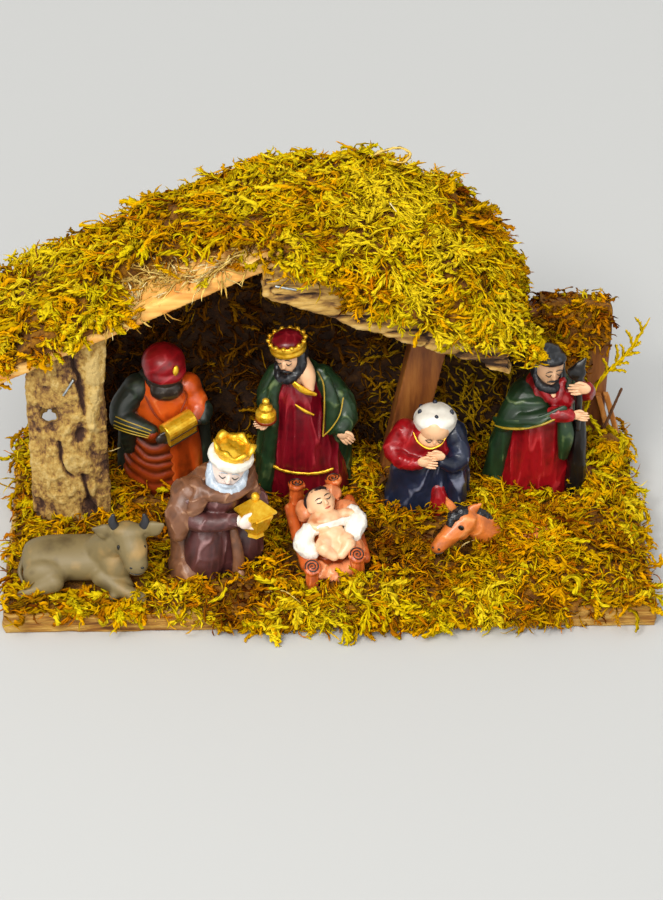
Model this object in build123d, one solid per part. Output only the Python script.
from build123d import *
import math
import os

# A small open stable of boards and bark, dressed with dried moss, with eight loose cast figures.
# X runs to the right, Y to the back and Z up, from the middle of the base board's underside.
# Lengths are millimetres and angles are degrees.

# Base board
base_width = 300
base_depth = 140
base_thick = 10
base_chamfer = 1.2

# Roof: a thin plank on the left laps over a thick crowned bark slab on the right
ridge_height = 149.5
ridge_across_share = -0.0867
ridge_lap = 4
roof_front_share = -0.1
plank_thick = 7
plank_slope = 26.2
plank_overhang = 1
slab_thick = 19
slab_crown = 8
slab_slope = 20.7
slab_eave_share = 0.273

# Back wall
wall_thick = 8
wall_back_inset = 4
wall_right_inset = 12
wall_left_share = -0.383
wall_low_height = 82

# Left post, a slab of bark with its round side to the front
bark_post_width = 37
bark_post_edge = 7
bark_post_bulge = 4
bark_post_across_share = -0.4
bark_post_setback = 3
bark_hole_width = 7.5
bark_hole_height = 6
bark_hole_across_share = -0.23
bark_hole_level_share = 0.68
bark_hole_fall = 35

# Right post, a plain leaning stick
stick_width = 17
stick_depth = 11
stick_lean = 10.4
stick_across_share = 0.11
stick_front_share = 0.186

# Staples in the front faces and brads up through the base board
staple_width = 9
staple_leg = 7
staple_wire = 1.2
brad_shank = 1.6
brad_head = 3.4
brad_head_thick = 0.8
brad_length = 22
brad_inset = 9
brad_spacing = 60

# Slats, twig and wire loop at the back corners
slat_thick = 2.6
slat_depth = 4
slat_height = 34
slat_lean = 16
slat_gap = 1.2
slat_lap = 6
twig_radius = 0.8
twig_height = 44
twig_lean = 17
twig_across_share = 0.455
twig_back_share = 0.33
wire_loop_radius = 3.2
wire_thick = 0.9
wire_inset = 3.5

# Moss mats, each with a surface of low hummocks that thins towards its edges
moss_depth = 12
moss_floor = 4
moss_inset = 0.6
moss_grid = 20
moss_wave = 3.2
moss_wave_length = 46
moss_wave_skew_share = 0.7
moss_edge_run = 14
moss_edge_share = 0.45
spill_reach = 5
spill_drop = 7
spill_left_share = -0.2
spill_right_share = 0.38
roof_moss = 13
roof_moss_lip = 3
roof_moss_drop = 3
roof_moss_overhang = 4
dome_front_heap = 15
dome_back_heap = 34
dome_lip = 5
dome_drop = 9
dome_overhang = 12
wall_moss = 8
wall_moss_cap = 6
wall_moss_split_share = 0.34
corner_moss_radius = 9
corner_moss_height = 24
corner_moss_across_share = 0.455
corner_moss_back_share = 0.27
sprig_radius = 1.2
sprig_run = 15
sprig_climb = 27
sprig_level_share = 0.62

# Figures
ox_length = 60
chest_king_height = 79
kneeling_king_height = 68
jar_king_height = 91
mother_height = 56
father_height = 79
donkey_length = 58
crib_width = 33
crib_length = 42
crib_floor = 9
crib_log = 6.4
crib_log_height = 19
crib_head_log_height = 29
child_tilt = 27
child_length = 36
seat_clearance = 0.5
chest_length = 18
chest_depth = 10
chest_height = 11
casket_width = 14
casket_height = 11
casket_lid = 8
jar_radius = 4.6
jar_height = 11
staff_radius = 2
crook_radius = 5

cut_overrun = 30

# Places of the figures, as shares of the base board's width and depth, and the way each one turns
ox_place_shares = (-0.375, -0.336)
chest_king_place_shares = (-0.253, 0.186)
kneeling_king_place_shares = (-0.177, -0.275)
jar_king_place_shares = (-0.042, 0.157)
crib_place_shares = (-0.003, -0.257)
mother_place_shares = (0.153, 0.055)
father_place_shares = (0.352, 0.179)
donkey_place_shares = (0.272, -0.205)
figure_turns = {
    "ox_figure": 0,
    "king_with_chest": 10,
    "kneeling_king": 22,
    "king_with_jar": -3,
    "crib_with_child": 12,
    "mother_figure": -8,
    "father_figure": 0,
    "donkey_figure": 0,
}

# Cast bodies: level, shift across, shift back, half width and half depth of each ellipse,
# as shares of the figure's height, or of its length for an animal
ox_body_shares = (
    (0.00, -0.02, 0.02, 0.47, 0.25),
    (0.14, -0.02, 0.02, 0.48, 0.255),
    (0.28, -0.03, 0.03, 0.44, 0.22),
    (0.38, -0.05, 0.04, 0.34, 0.15),
    (0.43, -0.06, 0.04, 0.20, 0.07),
)
donkey_body_shares = (
    (0.00, 0.06, 0.00, 0.44, 0.24),
    (0.14, 0.06, 0.00, 0.44, 0.24),
    (0.28, 0.07, 0.01, 0.38, 0.19),
    (0.38, 0.08, 0.01, 0.24, 0.10),
)
chest_king_body_shares = (
    (0.00, 0.00, 0.00, 0.26, 0.18),
    (0.20, 0.00, 0.00, 0.25, 0.17),
    (0.45, 0.00, 0.00, 0.235, 0.155),
    (0.62, 0.00, 0.00, 0.225, 0.135),
    (0.71, 0.00, 0.00, 0.16, 0.11),
    (0.78, 0.00, -0.02, 0.08, 0.075),
)
jar_king_body_shares = (
    (0.00, 0.00, 0.00, 0.25, 0.17),
    (0.25, 0.00, 0.00, 0.225, 0.155),
    (0.52, -0.02, 0.00, 0.19, 0.13),
    (0.68, -0.03, 0.00, 0.17, 0.11),
    (0.75, -0.045, 0.00, 0.12, 0.09),
    (0.80, -0.06, 0.00, 0.07, 0.065),
)
kneeling_king_body_shares = (
    (0.00, 0.00, 0.00, 0.32, 0.22),
    (0.20, 0.00, 0.00, 0.31, 0.215),
    (0.42, -0.02, 0.02, 0.28, 0.20),
    (0.58, -0.02, 0.03, 0.27, 0.18),
    (0.68, 0.00, 0.03, 0.18, 0.14),
    (0.75, 0.02, 0.01, 0.11, 0.10),
)
mother_body_shares = (
    (0.00, 0.00, 0.00, 0.36, 0.24),
    (0.22, 0.00, 0.00, 0.34, 0.23),
    (0.48, 0.00, 0.00, 0.33, 0.21),
    (0.64, 0.00, 0.00, 0.28, 0.18),
    (0.74, 0.00, -0.02, 0.19, 0.15),
)
father_body_shares = (
    (0.00, 0.00, 0.00, 0.30, 0.20),
    (0.25, -0.01, 0.00, 0.265, 0.18),
    (0.50, 0.00, 0.00, 0.235, 0.15),
    (0.66, 0.00, 0.00, 0.21, 0.13),
    (0.74, 0.00, 0.00, 0.13, 0.10),
    (0.80, 0.00, 0.00, 0.075, 0.07),
)
child_body_shares = (
    (0.00, 0.00, 0.00, 0.15, 0.10),
    (0.30, 0.00, 0.00, 0.22, 0.14),
    (0.60, 0.00, 0.00, 0.23, 0.15),
    (0.78, 0.00, 0.00, 0.11, 0.09),
)

# Heads, hair and headwear: across, back, level and radius
ox_ball_shares = ((0.34, -0.14, 0.49, 0.125),)
donkey_ball_shares = ((-0.27, -0.14, 0.42, 0.115), (-0.10, -0.03, 0.30, 0.16))
chest_king_ball_shares = ((0.00, -0.075, 0.80, 0.105), (0.00, -0.045, 0.872, 0.128))
jar_king_ball_shares = ((-0.07, -0.03, 0.835, 0.088), (-0.075, -0.01, 0.915, 0.085))
kneeling_king_ball_shares = ((0.05, -0.06, 0.79, 0.145), (0.05, -0.03, 0.85, 0.15))
mother_ball_shares = ((0.00, -0.13, 0.74, 0.16), (0.02, -0.06, 0.79, 0.21))
father_ball_shares = ((0.00, -0.05, 0.85, 0.095), (0.00, -0.015, 0.888, 0.112))
child_ball_shares = ((0.00, -0.01, 0.86, 0.19),)

# Arms, legs, horns, ears and brims: start, end and the radius at each end
ox_limb_shares = (
    ((0.34, -0.14, 0.49), (0.40, -0.28, 0.36), 0.12, 0.085),
    ((0.16, -0.02, 0.34), (0.34, -0.13, 0.48), 0.15, 0.11),
    ((0.26, -0.13, 0.56), (0.24, -0.14, 0.69), 0.04, 0.014),
    ((0.44, -0.13, 0.56), (0.47, -0.14, 0.69), 0.04, 0.014),
    ((0.26, -0.13, 0.52), (0.12, -0.15, 0.57), 0.045, 0.03),
    ((0.43, -0.13, 0.53), (0.57, -0.15, 0.60), 0.045, 0.03),
    ((0.06, -0.20, 0.09), (0.30, -0.22, 0.06), 0.07, 0.05),
    ((-0.30, -0.16, 0.10), (-0.05, -0.22, 0.06), 0.09, 0.05),
)
donkey_limb_shares = (
    ((-0.27, -0.14, 0.42), (-0.45, -0.24, 0.27), 0.11, 0.08),
    ((-0.23, -0.10, 0.50), (-0.28, -0.09, 0.66), 0.04, 0.02),
    ((-0.18, -0.11, 0.49), (-0.06, -0.11, 0.60), 0.04, 0.02),
    ((-0.10, -0.18, 0.09), (0.15, -0.22, 0.07), 0.07, 0.05),
)
chest_king_limb_shares = (
    ((-0.19, 0.00, 0.62), (-0.25, -0.08, 0.45), 0.085, 0.075),
    ((-0.25, -0.08, 0.45), (-0.02, -0.21, 0.43), 0.075, 0.055),
    ((0.18, 0.00, 0.62), (0.22, -0.10, 0.50), 0.09, 0.075),
    ((0.22, -0.10, 0.50), (0.15, -0.20, 0.46), 0.075, 0.05),
)
jar_king_limb_shares = (
    ((-0.14, 0.00, 0.68), (-0.21, -0.04, 0.53), 0.07, 0.075),
    ((-0.21, -0.04, 0.53), (-0.20, -0.13, 0.49), 0.075, 0.045),
    ((0.14, 0.00, 0.68), (0.24, -0.03, 0.53), 0.07, 0.08),
    ((0.24, -0.03, 0.53), (0.25, -0.12, 0.47), 0.08, 0.04),
)
kneeling_king_limb_shares = (
    ((-0.24, 0.00, 0.58), (-0.30, -0.10, 0.36), 0.11, 0.09),
    ((-0.30, -0.10, 0.36), (0.02, -0.27, 0.36), 0.09, 0.06),
    ((0.22, 0.00, 0.58), (0.29, -0.12, 0.42), 0.10, 0.08),
    ((0.29, -0.12, 0.42), (0.20, -0.25, 0.36), 0.08, 0.06),
)
mother_limb_shares = (
    ((-0.26, 0.00, 0.60), (-0.32, -0.10, 0.42), 0.11, 0.10),
    ((-0.32, -0.10, 0.42), (0.02, -0.25, 0.44), 0.10, 0.07),
    ((0.26, 0.00, 0.60), (0.32, -0.10, 0.42), 0.12, 0.11),
    ((0.32, -0.10, 0.42), (0.00, -0.24, 0.50), 0.11, 0.07),
)
father_limb_shares = (
    ((-0.17, 0.00, 0.65), (-0.19, -0.09, 0.50), 0.08, 0.075),
    ((-0.19, -0.09, 0.50), (0.17, -0.16, 0.54), 0.075, 0.045),
    ((0.17, 0.00, 0.65), (0.25, -0.06, 0.60), 0.08, 0.065),
    ((0.25, -0.06, 0.60), (0.21, -0.12, 0.68), 0.065, 0.045),
)
child_limb_shares = (
    ((-0.20, 0.00, 0.62), (-0.30, -0.06, 0.45), 0.07, 0.055),
    ((0.20, 0.00, 0.62), (0.30, -0.06, 0.45), 0.07, 0.055),
)

# Hands that hold something, as shares of the figure that holds it
chest_hold_shares = (0.09, -0.21, 0.47)
jar_hold_shares = (-0.20, -0.135, 0.53)
casket_hold_shares = (0.13, -0.27, 0.40)
staff_hold_shares = (0.19, -0.12, 0.0)
staff_height_share = 0.78

# Hollows of the animals, whose legs lie outside their bodies
ox_hollow_shares = (0.56, 0.36)
donkey_hollow_shares = (0.53, 0.30)

# Outline of the bark post: height and half width, as shares of the post
bark_left_shares = ((0.0, -0.46), (0.2, -0.50), (0.45, -0.47), (0.7, -0.50), (1.0, -0.48))
bark_right_shares = ((1.0, 0.50), (0.75, 0.46), (0.5, 0.48), (0.25, 0.50), (0.0, 0.49))
bark_hole_shares = ((-0.5, -0.2), (-0.1, -0.5), (0.5, -0.35), (0.45, 0.3), (0.0, 0.5), (-0.45, 0.35))

# Fullness of the front spill along its length
spill_full_shares = ((0.0, 0.3), (0.2, 0.8), (0.45, 1.0), (0.75, 0.75), (1.0, 0.3))

# Front staples: share of the post's width or of the slab's run, share of the height or thickness, tilt
post_staple_shares = (0.03, 0.82)
post_staple_tilt = 60
slab_staple_shares = (0.09, 0.45)
slab_staple_tilt = -12

# Worked out from the sizes above
base_top = base_thick
base_left = -base_width / 2
base_right = base_width / 2
base_front = -base_depth / 2
base_back = base_depth / 2
ridge_x = ridge_across_share * base_width
plank_left = base_left - plank_overhang
plank_right = ridge_x + ridge_lap
plank_rise = plank_thick / math.cos(math.radians(plank_slope))
slab_left = ridge_x - ridge_lap
slab_right = slab_eave_share * base_width
slab_drop = slab_thick / math.cos(math.radians(slab_slope))
roof_front = roof_front_share * base_depth
roof_back = base_back - wall_back_inset
wall_front = roof_back - wall_thick
wall_left = wall_left_share * base_width
wall_right = base_right - wall_right_inset
wall_low_top = base_top + wall_low_height
seat_level = base_top + moss_floor


def plank_under(x):
    return base_top + ridge_height + (x - ridge_x) * math.tan(math.radians(plank_slope))


def plank_over(x):
    return plank_under(x) + plank_rise


def slab_over(x):
    return plank_under(plank_right) - (x - plank_right) * math.tan(math.radians(slab_slope))


def slab_under(x):
    return slab_over(x) - slab_drop


def upright(points, front, back):
    """A solid with an outline of (x, z) points, from front to back along Y."""
    outline = Polyline(*[(x, front, z) for x, z in points], close=True)
    return extrude(make_face(outline), amount=back - front, dir=(0, 1, 0))


def upright_side(points, width):
    """A solid with an outline of (y, z) points, centred across X."""
    outline = Polyline(*[(-width / 2, y, z) for y, z in points], close=True)
    return extrude(make_face(outline), amount=width, dir=(1, 0, 0))


def main_solid(shape):
    """The largest solid of a shape, without slivers that a cut leaves."""
    return max(shape.solids(), key=lambda solid: solid.volume)


def limb(start, end, start_radius, end_radius):
    """A tapered round bar between two points, with a round end."""
    run = Vector(*end) - Vector(*start)
    grip = (Align.CENTER, Align.CENTER, Align.MIN)
    bar = Plane(origin=start, z_dir=run) * Cone(start_radius, end_radius, run.length, align=grip)
    return bar + Pos(*start) * Sphere(start_radius) + Pos(*end) * Sphere(end_radius)


def rod(start, end, radius):
    """A straight round bar between two points."""
    run = Vector(*end) - Vector(*start)
    grip = (Align.CENTER, Align.CENTER, Align.MIN)
    return Plane(origin=start, z_dir=run) * Cylinder(radius, run.length, align=grip)


def tower(rows, size):
    """A loft through level ellipses given as shares of size."""
    sections = []
    for level, across, back, half_width, half_depth in rows:
        ellipse = Ellipse(half_width * size, half_depth * size)
        sections.append(Pos(across * size, back * size, level * size) * ellipse)
    return loft(sections, ruled=True)


def sized(shares, size):
    return tuple(share * size for share in shares)


def cast_figure(size, body_shares, ball_shares, limb_shares, held=()):
    """One casting: a lofted body with its heads, limbs and what it holds."""
    pieces = []
    for across, back, level, radius in ball_shares:
        pieces.append(Pos(*sized((across, back, level), size)) * Sphere(radius * size))
    for start, end, start_radius, end_radius in limb_shares:
        pieces.append(limb(sized(start, size), sized(end, size), start_radius * size, end_radius * size))
    figure = tower(body_shares, size) + pieces
    for piece in held:
        figure = figure + piece
    lowest = min(level for level, _, _, _, _ in body_shares) * size
    under = Pos(0, 0, lowest - cut_overrun / 2) * Box(cut_overrun * 6, cut_overrun * 6, cut_overrun)
    return main_solid(figure - under)


# Wooden parts
def base_board():
    middle = Pos(0, 0, base_thick / 2) * Box(base_width, base_depth, base_thick)
    return chamfer(middle.edges().filter_by(Axis.Z), base_chamfer)


def back_wall_outline():
    return [
        (wall_left, base_top),
        (wall_right, base_top),
        (wall_right, wall_low_top),
        (slab_right, wall_low_top),
        (slab_right, slab_under(slab_right)),
        (slab_left, slab_under(slab_left)),
        (slab_left, plank_under(slab_left)),
        (wall_left, plank_under(wall_left)),
    ]


def back_wall():
    return upright(back_wall_outline(), wall_front, roof_back)


def roof_plank():
    outline = [
        (plank_left, plank_under(plank_left)),
        (plank_right, plank_under(plank_right)),
        (plank_right, plank_over(plank_right)),
        (plank_left, plank_over(plank_left)),
    ]
    return upright(outline, roof_front, roof_back)


def slab_edges(front):
    """The bark slab's outline at one depth: flat below, crowned above, bevelled under the plank."""
    eave_top = (slab_right, front, slab_over(slab_right))
    ridge_top = (plank_right, front, slab_over(plank_right))
    crown_x = (slab_right + plank_right) / 2
    crown = (crown_x, front, slab_over(crown_x) + slab_crown)
    run = Polyline(
        ridge_top,
        (slab_left, front, plank_under(slab_left)),
        (slab_left, front, slab_under(slab_left)),
        (slab_right, front, slab_under(slab_right)),
        eave_top,
    )
    return [run, ThreePointArc(eave_top, crown, ridge_top)]


def roof_slab():
    face = make_face(slab_edges(roof_front))
    return extrude(face, amount=roof_back - roof_front, dir=(0, 1, 0))


bark_post_x = bark_post_across_share * base_width
bark_post_front = roof_front + bark_post_setback
bark_post_back = bark_post_front + bark_post_bulge + bark_post_edge


def bark_post():
    half = bark_post_width / 2
    corner = bark_post_front + bark_post_bulge
    plan = make_face([
        Polyline(
            (bark_post_x + half, corner, base_top),
            (bark_post_x + half, bark_post_back, base_top),
            (bark_post_x - half, bark_post_back, base_top),
            (bark_post_x - half, corner, base_top),
        ),
        ThreePointArc(
            (bark_post_x - half, corner, base_top),
            (bark_post_x, bark_post_front, base_top),
            (bark_post_x + half, corner, base_top),
        ),
    ])
    column = extrude(plan, amount=ridge_height, dir=(0, 0, 1))
    edge = []
    for height_share, half_share in bark_left_shares + bark_right_shares:
        x = bark_post_x + half_share * bark_post_width
        edge.append((x, base_top + height_share * (plank_under(x) - base_top)))
    outline = upright(edge, bark_post_front - cut_overrun, bark_post_back + cut_overrun)
    hole_x = bark_post_x + bark_hole_across_share * bark_post_width
    hole_z = base_top + bark_hole_level_share * (plank_under(bark_post_x) - base_top)
    hole_points = []
    for across, level in bark_hole_shares:
        hole_points.append((hole_x + across * bark_hole_width, hole_z + level * bark_hole_height))
    hole = upright(hole_points, bark_post_front - cut_overrun, bark_post_back + cut_overrun)
    pivot = Pos(0, bark_post_front, hole_z)
    hole = pivot * Rot(-bark_hole_fall, 0, 0) * pivot.inverse() * hole
    return main_solid((column & outline) - hole)


stick_x = stick_across_share * base_width
stick_front = stick_front_share * base_depth


def leaning_stick():
    """A leaning stick whose foot is flat on the board and whose top meets the slab's underside."""
    half = stick_width / 2 / math.cos(math.radians(stick_lean))
    lean = math.tan(math.radians(stick_lean))
    fall = math.tan(math.radians(slab_slope))
    corners = [(stick_x - half, base_top), (stick_x + half, base_top)]
    for foot in (stick_x + half, stick_x - half):
        height = (slab_under(foot) - base_top) / (1 + lean * fall)
        corners.append((foot + height * lean, base_top + height))
    return upright(corners, stick_front, stick_front + stick_depth)


# Fasteners and small pieces
def staple(x, z, face_y, tilt):
    """A wire staple whose crown lies in a front face and whose legs run back into the wood."""
    radius = staple_wire / 2
    across = staple_width / 2 * math.cos(math.radians(tilt))
    up = staple_width / 2 * math.sin(math.radians(tilt))
    left = (x - across, face_y, z - up)
    right = (x + across, face_y, z + up)
    pieces = [Pos(*left) * Sphere(radius), Pos(*right) * Sphere(radius)]
    for corner in (left, right):
        pieces.append(rod(corner, (corner[0], face_y + staple_leg, corner[2]), radius))
    return main_solid(rod(left, right, radius) + pieces)


def front_staples():
    post_x = bark_post_x + post_staple_shares[0] * bark_post_width
    post_z = base_top + post_staple_shares[1] * (plank_under(post_x) - base_top)
    slab_x = slab_left + slab_staple_shares[0] * (slab_right - slab_left)
    slab_z = slab_under(slab_x) + slab_staple_shares[1] * slab_drop
    return [
        staple(post_x, post_z, bark_post_front, post_staple_tilt),
        staple(slab_x, slab_z, roof_front, slab_staple_tilt),
    ]


def brad(x, y):
    """A brad driven up through the base board, its head flush with the underside."""
    grip = (Align.CENTER, Align.CENTER, Align.MIN)
    head = Pos(x, y, 0) * Cylinder(brad_head / 2, brad_head_thick, align=grip)
    shank = Pos(x, y, 0) * Cylinder(brad_shank / 2, brad_length, align=grip)
    return main_solid(head + shank)


def base_brads():
    post_y = bark_post_back - bark_post_edge / 2
    wall_y = wall_front + wall_thick / 2
    brads = [
        brad(bark_post_x - brad_inset, post_y),
        brad(bark_post_x + brad_inset, post_y),
        brad(stick_x, stick_front + stick_depth / 2),
    ]
    count = int((wall_right - wall_left - 2 * brad_inset) // brad_spacing) + 1
    first = (wall_left + wall_right) / 2 - (count - 1) * brad_spacing / 2
    for step in range(count):
        brads.append(brad(first + step * brad_spacing, wall_y))
    return brads


def slat(order):
    """A thin strip standing on the base board, leaning to the left along the wall's front."""
    lean = math.tan(math.radians(slat_lean))
    wide = slat_thick / math.cos(math.radians(slat_lean))
    shift = order * (wide + slat_gap)
    top_x = wall_right - slat_lap + shift
    foot_x = top_x + slat_height * lean
    outline = [
        (foot_x, base_top),
        (foot_x + wide, base_top),
        (top_x + wide, base_top + slat_height),
        (top_x, base_top + slat_height),
    ]
    return upright(outline, wall_front - slat_depth, wall_front)


def twig():
    x = twig_across_share * base_width
    y = twig_back_share * base_depth
    reach = twig_height * math.tan(math.radians(twig_lean))
    bar = rod((x - reach / 2, y, base_top), (x + reach / 2, y, base_top + twig_height), twig_radius)
    under = Pos(x, y, base_top - cut_overrun / 2) * Box(cut_overrun * 2, cut_overrun * 2, cut_overrun)
    return main_solid(bar - under)


def wire_loop():
    x = base_left + wire_inset
    y = base_back - wire_inset
    ring = Torus(wire_loop_radius, wire_thick / 2)
    stood = Pos(x, y, base_top + wire_loop_radius / 2) * Rot(90, 0, 40) * ring
    under = Pos(x, y, base_top - cut_overrun / 2) * Box(cut_overrun, cut_overrun, cut_overrun)
    return main_solid(stood - under)


# Figures, each facing the front with its foot at the origin
def ox_figure():
    return cast_figure(ox_length, ox_body_shares, ox_ball_shares, ox_limb_shares)


def donkey_figure():
    return cast_figure(donkey_length, donkey_body_shares, donkey_ball_shares, donkey_limb_shares)


def king_with_chest():
    box = Box(chest_length, chest_depth, chest_height)
    held = Pos(*sized(chest_hold_shares, chest_king_height)) * Rot(20, 0, 12) * box
    return cast_figure(chest_king_height, chest_king_body_shares, chest_king_ball_shares,
                       chest_king_limb_shares, [held])


def king_with_jar():
    jar = Pos(*sized(jar_hold_shares, jar_king_height)) * Cone(jar_radius, jar_radius / 2, jar_height)
    return cast_figure(jar_king_height, jar_king_body_shares, jar_king_ball_shares,
                       jar_king_limb_shares, [jar])


def kneeling_king():
    grip = (Align.CENTER, Align.CENTER, Align.MIN)
    block = Box(casket_width, casket_width, casket_height, align=grip)
    foot = Pos(0, 0, casket_height) * Rectangle(casket_width, casket_width)
    tip = Pos(0, 0, casket_height + casket_lid) * Rectangle(casket_width / 5, casket_width / 5)
    casket = block + loft([foot, tip])
    held = Pos(*sized(casket_hold_shares, kneeling_king_height)) * casket
    return cast_figure(kneeling_king_height, kneeling_king_body_shares, kneeling_king_ball_shares,
                       kneeling_king_limb_shares, [held])


def mother_figure():
    return cast_figure(mother_height, mother_body_shares, mother_ball_shares, mother_limb_shares)


def father_figure():
    x, y, z = sized(staff_hold_shares, father_height)
    top = staff_height_share * father_height
    crook = Pos(x - crook_radius, y, top) * Rot(90, 0, 0) * Torus(crook_radius, staff_radius)
    hook = crook - Pos(x - crook_radius, y, top - cut_overrun / 2) * Box(cut_overrun, cut_overrun, cut_overrun)
    staff = rod((x, y, z), (x, y, top), staff_radius)
    return cast_figure(father_height, father_body_shares, father_ball_shares,
                       father_limb_shares, [staff, hook])


def crib_with_child():
    """A crib of logs with a child lying in it, feet to the front and head raised at the back."""
    grip = (Align.CENTER, Align.CENTER, Align.MIN)
    solid = Box(crib_width, crib_length, crib_floor, align=grip)
    logs = []
    for side in (-1, 1):
        for end, height in ((-1, crib_log_height), (1, crib_head_log_height)):
            x = side * (crib_width - crib_log) / 2
            y = end * (crib_length - crib_log) / 2
            logs.append(rod((x, y, 0), (x, y, height), crib_log / 2))
    straw = upright_side(
        [(-crib_length / 2, crib_floor), (crib_length / 2, crib_floor),
         (crib_length / 2, crib_floor + child_length * math.sin(math.radians(child_tilt)))],
        crib_width - crib_log)
    bed = Pos(0, -child_length / 2, crib_floor) * Rot(child_tilt - 90, 0, 0)
    return main_solid(solid + logs + [straw, bed * cast_child()])


def cast_child():
    return cast_figure(child_length, child_body_shares, child_ball_shares, child_limb_shares)


figure_makers = {
    "ox_figure": (ox_figure, ox_place_shares),
    "king_with_chest": (king_with_chest, chest_king_place_shares),
    "kneeling_king": (kneeling_king, kneeling_king_place_shares),
    "king_with_jar": (king_with_jar, jar_king_place_shares),
    "crib_with_child": (crib_with_child, crib_place_shares),
    "mother_figure": (mother_figure, mother_place_shares),
    "father_figure": (father_figure, father_place_shares),
    "donkey_figure": (donkey_figure, donkey_place_shares),
}
hollow_sizes = {
    "ox_figure": sized(ox_hollow_shares, ox_length),
    "king_with_chest": sized(chest_king_body_shares[0][3:], chest_king_height),
    "kneeling_king": sized(kneeling_king_body_shares[0][3:], kneeling_king_height),
    "king_with_jar": sized(jar_king_body_shares[0][3:], jar_king_height),
    "mother_figure": sized(mother_body_shares[0][3:], mother_height),
    "father_figure": sized(father_body_shares[0][3:], father_height),
    "donkey_figure": sized(donkey_hollow_shares, donkey_length),
}


def figure_spot(name):
    """Where a figure stands: its foot on the floor of its hollow, turned its own way."""
    across, back = figure_makers[name][1]
    return Pos(across * base_width, back * base_depth, seat_level) * Rot(0, 0, figure_turns[name])


def hollow(name):
    """The hollow in the moss that takes a figure's foot, open above."""
    if name == "crib_with_child":
        plan = Rectangle(crib_width + 2 * seat_clearance, crib_length + 2 * seat_clearance)
    else:
        half_width, half_depth = hollow_sizes[name]
        plan = Ellipse(half_width + seat_clearance, half_depth + seat_clearance)
    return figure_spot(name) * extrude(plan, amount=cut_overrun)


# Moss
def hummock(u, v):
    """Rise or fall of a mat's surface at one place on it."""
    turn = 2 * math.pi / moss_wave_length
    swell = math.sin(turn * u + math.sin(turn * v * moss_wave_skew_share))
    return moss_wave * swell * math.cos(turn * v + math.sin(turn * u * moss_wave_skew_share))


def edge_share(distance):
    """Share of a mat's full depth at a distance in from its edge."""
    inward = min(max(distance / moss_edge_run, 0), 1)
    return moss_edge_share + (1 - moss_edge_share) * math.sin(inward * math.pi / 2)


def mat_depth(u, v, left, right, front, back, depth):
    """Depth of a mat at one place: full and wavy in the middle, thin at the edges."""
    inward = min(u - left, right - u, v - front, back - v)
    return edge_share(inward) * (depth + hummock(u, v))


def cover(left, right, front, back, surface):
    """A solid whose top follows surface(u, v) over a rectangle, and which reaches well below it."""
    columns = max(4, round((right - left) / moss_grid))
    rows = max(4, round((back - front) / moss_grid))
    sections = []
    for column in range(columns + 1):
        u = left + (right - left) * column / columns
        crest = []
        for row in range(rows + 1):
            v = front + (back - front) * row / rows
            crest.append((u, v, surface(u, v)))
        low = min(z for _, _, z in crest) - 2 * cut_overrun
        edge = Polyline(crest[-1], (u, back, low), (u, front, low), crest[0])
        sections.append(make_face([Spline(*crest), edge]))
    return loft(sections, ruled=True)


def cut_all(mat, cutters):
    for cutter in cutters:
        mat = mat - cutter
    return main_solid(mat)


def front_spill():
    """Moss that hangs over the middle of the base board's front edge."""
    left = spill_left_share * base_width
    right = spill_right_share * base_width
    sections = []
    for along_share, full_share in spill_full_shares:
        x = left + along_share * (right - left)
        ellipse = Ellipse(spill_drop * full_share, spill_reach * full_share)
        sections.append(Pos(x, base_front, base_top) * Rot(0, 90, 0) * ellipse)
    return loft(sections)


def moss_bed(cutters):
    """The mat on the base board, with a spill over the front edge."""
    left = base_left + moss_inset
    right = base_right - moss_inset
    front = base_front + moss_inset
    back = base_back - moss_inset

    def surface(x, y):
        return base_top + mat_depth(x, y, left, right, front, back, moss_depth)

    above = Pos(0, 0, base_top + cut_overrun) * Box(2 * base_width, 2 * base_depth, 2 * cut_overrun)
    mat = cover(left, right, front, back, surface) & above
    return cut_all(mat + front_spill(), cutters)


def roof_window(left, right, low_left, low_right, front, back):
    """The space above a roof board, from a sloping line upwards."""
    high = base_top + 2 * ridge_height
    return upright([(left, low_left), (right, low_right), (right, high), (left, high)], front, back)


def left_roof_moss(cutters):
    """The mat on the plank, a little past its edges."""
    left = plank_left - roof_moss_overhang
    right = plank_right
    front = roof_front - roof_moss_lip
    back = roof_back + roof_moss_lip

    def surface(x, y):
        return plank_over(x) + mat_depth(x, y, left, right + moss_edge_run, front, back, roof_moss)

    window = roof_window(left, right, plank_over(left) - roof_moss_drop,
                         plank_over(right) - roof_moss_drop, front, back)
    return cut_all(cover(left, right, front, back, surface) & window, cutters)


def right_roof_moss(cutters):
    """The mat on the bark slab, heaped up towards the back."""
    left = plank_right
    right = slab_right + dome_overhang
    front = roof_front - dome_lip
    back = roof_back + roof_moss_lip

    def surface(x, y):
        back_share = (y - front) / (back - front)
        along_share = (x - left) / (right - left)
        heap = dome_front_heap + back_share * (dome_back_heap - dome_front_heap)
        crest = (plank_rise + roof_moss) * (1 - along_share)
        depth = crest + heap * math.sin(math.pi * along_share)
        return slab_over(x) + mat_depth(x, y, left - moss_edge_run, right, front, back, depth)

    window = roof_window(left, right, slab_over(left) - dome_drop, slab_over(right) - dome_drop,
                         front, back)
    return cut_all(cover(left, right, front, back, surface) & window, cutters)


def wall_moss_mat(left, right, cutters):
    """A mat on the front of the back wall, between two upright lines."""
    low = base_top
    high = base_top + ridge_height
    on_wall = Plane(origin=(0, wall_front, 0), x_dir=(1, 0, 0), z_dir=(0, -1, 0))

    def surface(x, z):
        return wall_moss + hummock(x, z) / 2

    mat = on_wall * cover(left, right, low, high, surface)
    window = upright(back_wall_outline(), wall_front - 2 * wall_moss, wall_front)
    return cut_all(mat & window, cutters)


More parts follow.
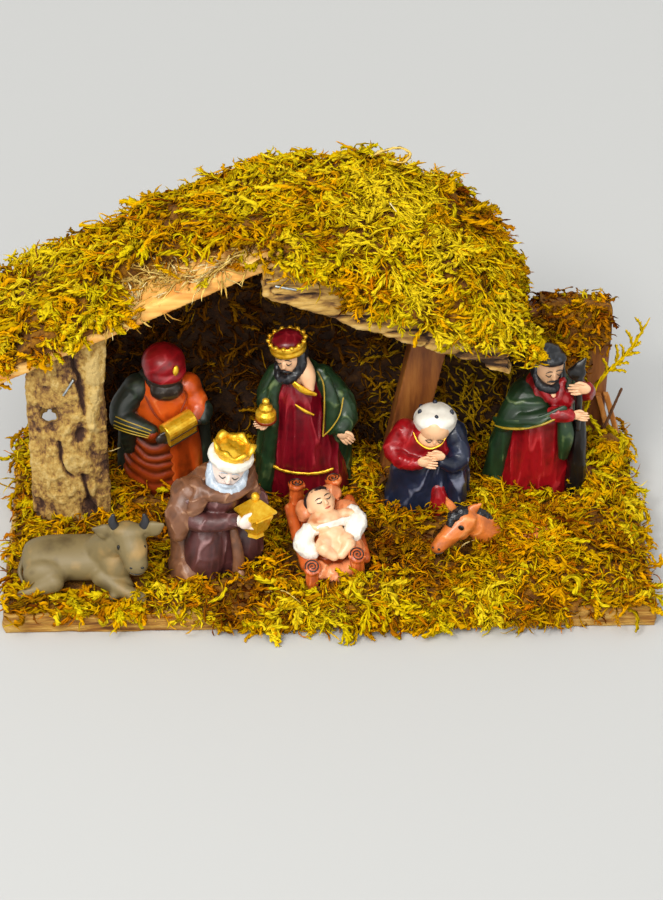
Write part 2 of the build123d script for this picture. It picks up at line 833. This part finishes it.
def right_wall_moss(left, cutters):
    """The mat on the wall's low right end, with a cap along its top and a sprig that stands out."""
    mat = wall_moss_mat(left, wall_right, cutters)
    cap_outline = [
        (left, wall_low_top),
        (wall_right, wall_low_top),
        (wall_right, wall_low_top + wall_moss_cap / 2),
        ((left + wall_right) / 2, wall_low_top + wall_moss_cap),
        (left, wall_low_top + wall_moss_cap),
    ]
    cap = upright(cap_outline, wall_front - wall_moss / 2, roof_back)
    x = wall_right - wall_moss / 2
    y = wall_front - wall_moss / 2
    z = base_top + sprig_level_share * wall_low_height
    sprig = limb((x, y, z), (x + sprig_run, y, z + sprig_climb), 2 * sprig_radius, sprig_radius)
    return cut_all(mat + cap + sprig, cutters)


def corner_moss(cutters):
    """A mound beside the slats."""
    x = corner_moss_across_share * base_width
    y = corner_moss_back_share * base_depth
    core = corner_moss_height - corner_moss_radius
    mound = Pos(x, y, base_top + core) * Sphere(corner_moss_radius)
    skirt = Pos(x, y, base_top + core / 2) * Cylinder(corner_moss_radius, core)
    return cut_all(mound + skirt, cutters)


def build():
    """Every node of the stable, by name."""
    staples = front_staples()
    brads = base_brads()
    nodes = {
        "base_board": base_board(),
        "back_wall": back_wall(),
        "left_post": bark_post(),
        "right_post": leaning_stick(),
        "left_roof_plank": roof_plank(),
        "right_roof_slab": roof_slab(),
    }
    for name in ("base_board", "back_wall", "left_post", "right_post"):
        for item in brads:
            nodes[name] = nodes[name] - item
    for name in ("left_post", "right_roof_slab"):
        for item in staples:
            nodes[name] = nodes[name] - item
    wood = list(nodes.values())
    nodes["front_staples"] = Compound(children=staples)
    nodes["base_brads"] = Compound(children=brads)
    nodes["front_slat"] = slat(0)
    nodes["rear_slat"] = slat(1)
    nodes["corner_twig"] = twig()
    nodes["wire_loop"] = wire_loop()
    trim = [nodes[name] for name in ("front_slat", "rear_slat", "corner_twig", "wire_loop")]
    hollows = [hollow(name) for name in figure_makers]

    split = wall_moss_split_share * base_width
    nodes["inner_wall_moss"] = wall_moss_mat(wall_left, split, wood + hollows)
    nodes["right_wall_moss"] = right_wall_moss(split, wood + trim + hollows)
    wall_mats = [nodes["inner_wall_moss"], nodes["right_wall_moss"]]
    nodes["corner_moss"] = corner_moss(wood + trim + hollows + wall_mats)
    nodes["moss_bed"] = moss_bed(wood + trim + hollows + wall_mats + [nodes["corner_moss"]])
    nodes["left_roof_moss"] = left_roof_moss(wood)
    nodes["right_roof_moss"] = right_roof_moss(wood)

    for name, (maker, _) in figure_makers.items():
        nodes[name] = figure_spot(name) * maker()
    return nodes


os.makedirs("parts", exist_ok=True)
for node_name, node in build().items():
    export_step(node, f"parts/{node_name}.step")
